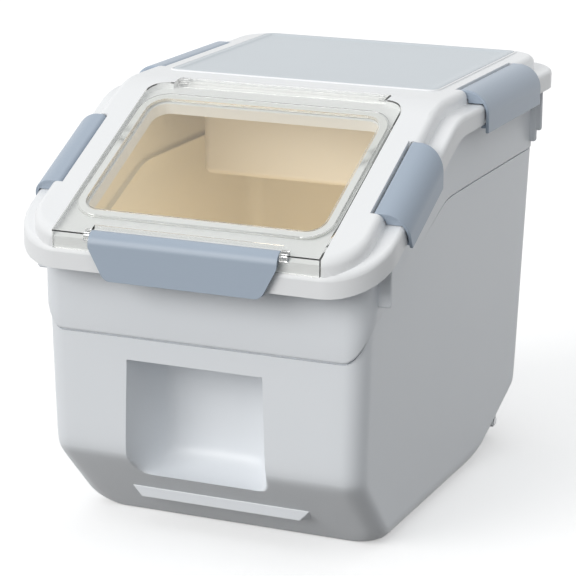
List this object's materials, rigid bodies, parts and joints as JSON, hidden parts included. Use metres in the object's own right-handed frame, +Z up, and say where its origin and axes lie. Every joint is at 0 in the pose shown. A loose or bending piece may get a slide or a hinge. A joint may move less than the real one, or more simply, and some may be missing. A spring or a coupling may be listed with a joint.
{
  "type": "rice bin with flip lid",
  "caption": "Free-standing rice bin with a slanted clear flip lid, a latched lid frame with a seal, a covered storage box under its deck, and rear rollers.",
  "frame": {"origin": "on the surface that the bin stands on, under the middle of its footprint", "axes": "+Z up, +Y towards the back, +X to the right seen from the front"},
  "size_m": [0.2826, 0.4054, 0.305],
  "materials": {
    "tub_white": "satin moulded white polypropylene",
    "lid_white": "satin moulded white plastic",
    "deck_grey": "fine-grained pale grey plastic",
    "latch_blue": "satin blue-grey plastic",
    "clear_lid": "clear polished plastic",
    "box_white": "milky moulded plastic",
    "seal_silicone": "soft milky silicone",
    "pin_steel": "plain drawn wire",
    "roller_dark": "dark moulded plastic"
  },
  "bodies": {
    "root": {"tub": "tub_white", "wheel_axle_left": "pin_steel", "wheel_axle_right": "pin_steel"},
    "lid": {"lid_frame": "lid_white", "lid_seal": "seal_silicone", "storage_box": "box_white", "flip_hinge_pin_left": "pin_steel", "flip_hinge_pin_right": "pin_steel", "front_side_latch_pins": "pin_steel", "rear_side_latch_pins": "pin_steel"},
    "flip_lid": {"flip_lid": "clear_lid", "window_seal": "seal_silicone", "front_latch_pin": "pin_steel"},
    "front_latch": {"front_latch": "latch_blue"},
    "front_side_latch_left": {"front_side_latch_left": "latch_blue"},
    "front_side_latch_right": {"front_side_latch_right": "latch_blue"},
    "rear_side_latch_left": {"rear_side_latch_left": "latch_blue"},
    "rear_side_latch_right": {"rear_side_latch_right": "latch_blue"},
    "deck_cover": {"deck_cover": "deck_grey"},
    "wheel_left": {"wheel_left": "roller_dark"},
    "wheel_right": {"wheel_right": "roller_dark"}
  },
  "joints": [
    {"name": "lid_lift", "type": "slide", "parent": "root", "child": "lid", "axis": [0, 0, 1], "range_m": [0, 0.12]},
    {"name": "flip_lid_hinge", "type": "hinge", "parent": "lid", "child": "flip_lid", "pos_m": [0, -0.0323, 0.3007], "axis": [-1, 0, 0], "range_deg": [0, 120]},
    {"name": "front_latch_hinge", "type": "hinge", "parent": "flip_lid", "child": "front_latch", "pos_m": [0, -0.1954, 0.22484], "axis": [-1, 0, 0], "range_deg": [0, 110]},
    {"name": "front_side_latch_left_hinge", "type": "hinge", "parent": "lid", "child": "front_side_latch_left", "pos_m": [-0.12, -0.11593, 0.26379], "axis": [0, 0.8949, 0.4462], "range_deg": [0, 100]},
    {"name": "front_side_latch_right_hinge", "type": "hinge", "parent": "lid", "child": "front_side_latch_right", "pos_m": [0.12, -0.11593, 0.26379], "axis": [0, -0.8949, -0.4462], "range_deg": [0, 100]},
    {"name": "rear_side_latch_left_hinge", "type": "hinge", "parent": "lid", "child": "rear_side_latch_left", "pos_m": [-0.12, 0.0707, 0.3008], "axis": [0, 1, 0], "range_deg": [0, 100]},
    {"name": "rear_side_latch_right_hinge", "type": "hinge", "parent": "lid", "child": "rear_side_latch_right", "pos_m": [0.12, 0.0707, 0.3008], "axis": [0, -1, 0], "range_deg": [0, 100]},
    {"name": "deck_cover_lift", "type": "slide", "parent": "lid", "child": "deck_cover", "axis": [0, 0, 1], "range_m": [0, 0.06]},
    {"name": "wheel_left_spin", "type": "hinge", "parent": "root", "child": "wheel_left", "pos_m": [-0.098, 0.1407, 0.014], "axis": [1, 0, 0], "continuous": true},
    {"name": "wheel_right_spin", "type": "hinge", "parent": "root", "child": "wheel_right", "pos_m": [0.098, 0.1407, 0.014], "axis": [1, 0, 0], "continuous": true}
  ]
}
